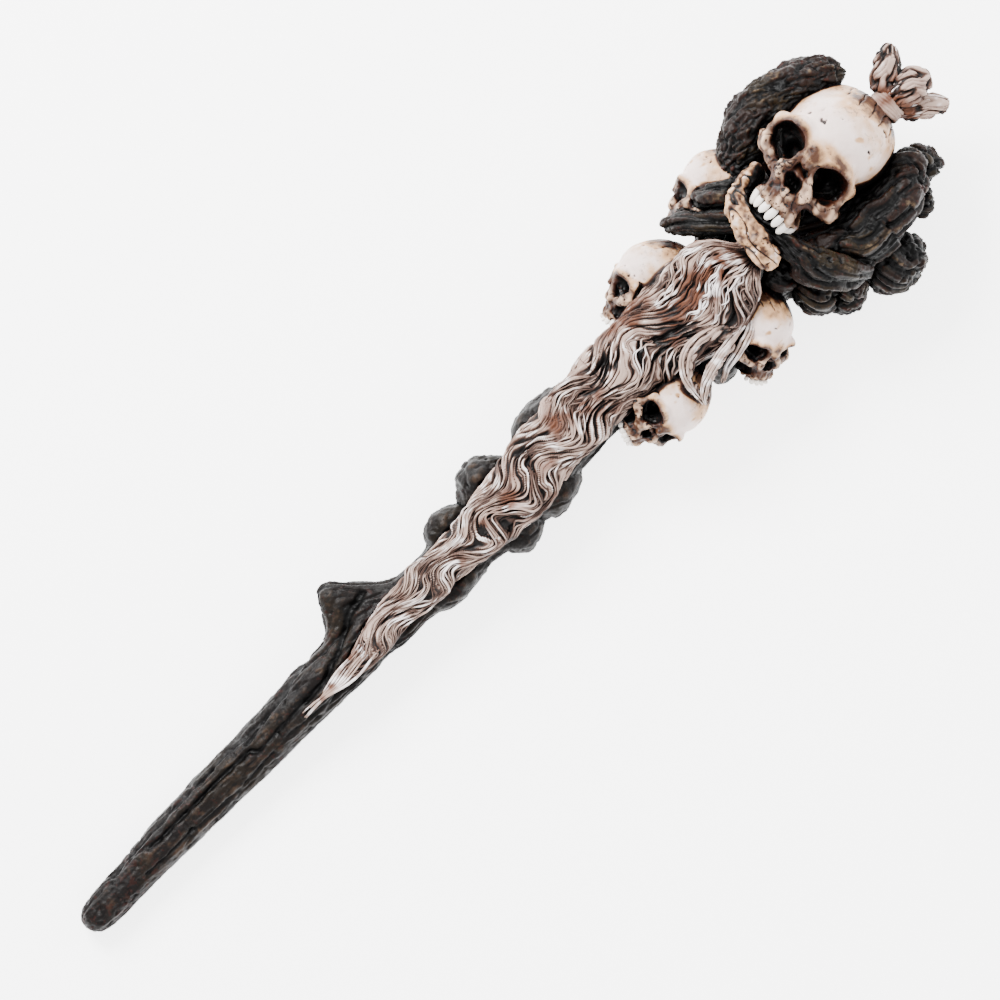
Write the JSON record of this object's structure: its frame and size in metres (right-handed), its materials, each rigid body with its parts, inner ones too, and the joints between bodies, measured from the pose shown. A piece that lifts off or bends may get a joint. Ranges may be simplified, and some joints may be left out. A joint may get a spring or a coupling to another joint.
{
  "type": "magic wand",
  "caption": "Gnarled root wand with a bearded, open-jawed skull gripped by roots at its head, smaller skulls set along the shaft and a bare, tapering stick to hold.",
  "frame": {"origin": "middle of the wand's footprint, on the table it lies on", "axes": "+X along the stick towards the skull's crown, +Z the way the face looks, +Y the wand's left when it stands with the face to the viewer"},
  "size_m": [0.341, 0.0728, 0.0519],
  "materials": {
    "bone_resin": "cast resin painted as old bone: ivory highlights, orange-brown stain in the hollows, satin lacquer",
    "tooth_ivory": "cast resin painted pale ivory with brown wash between the teeth",
    "hair_resin": "cast resin strands, ivory dry-brush on the ridges over a dark red-brown wash",
    "bark_resin": "cast resin painted as near-black brown bark with olive and tan dry-brush, low satin",
    "root_resin": "cast resin painted as dark roots with olive and red-brown flecks, low satin",
    "steel_core": "plain drawn wire"
  },
  "bodies": {
    "root": {"back_left_root": "root_resin", "back_right_root": "root_resin", "beard": "hair_resin", "beard_side_lock": "hair_resin", "cheek_root": "root_resin", "chin_knot": "root_resin", "chin_root": "root_resin", "core_rod": "steel_core", "crown_right_knot": "root_resin", "first_left_burr": "root_resin", "first_right_burr": "root_resin", "left_root": "root_resin", "lower_left_skull_cranium": "bone_resin", "lower_left_skull_upper_teeth": "tooth_ivory", "lower_right_knot": "root_resin", "lower_right_skull_cranium": "bone_resin", "lower_right_skull_upper_teeth": "tooth_ivory", "main_skull_cranium": "bone_resin", "main_skull_jaw": "bone_resin", "main_skull_upper_teeth": "tooth_ivory", "middle_right_knot": "root_resin", "outer_right_knot": "root_resin", "right_root": "root_resin", "second_left_burr": "root_resin", "second_right_burr": "root_resin", "side_knot": "root_resin", "stick": "bark_resin", "temple_root": "root_resin", "third_left_burr": "root_resin", "third_right_burr": "root_resin", "throat_root": "root_resin", "topknot_left_tuft": "hair_resin", "topknot_middle_tuft": "hair_resin", "topknot_right_tuft": "hair_resin", "topknot_tie": "bone_resin", "upper_left_skull_cranium": "bone_resin", "upper_left_skull_upper_teeth": "tooth_ivory", "upper_right_knot": "root_resin", "upper_right_skull_cranium": "bone_resin", "upper_right_skull_upper_teeth": "tooth_ivory"}
  },
  "joints": []
}
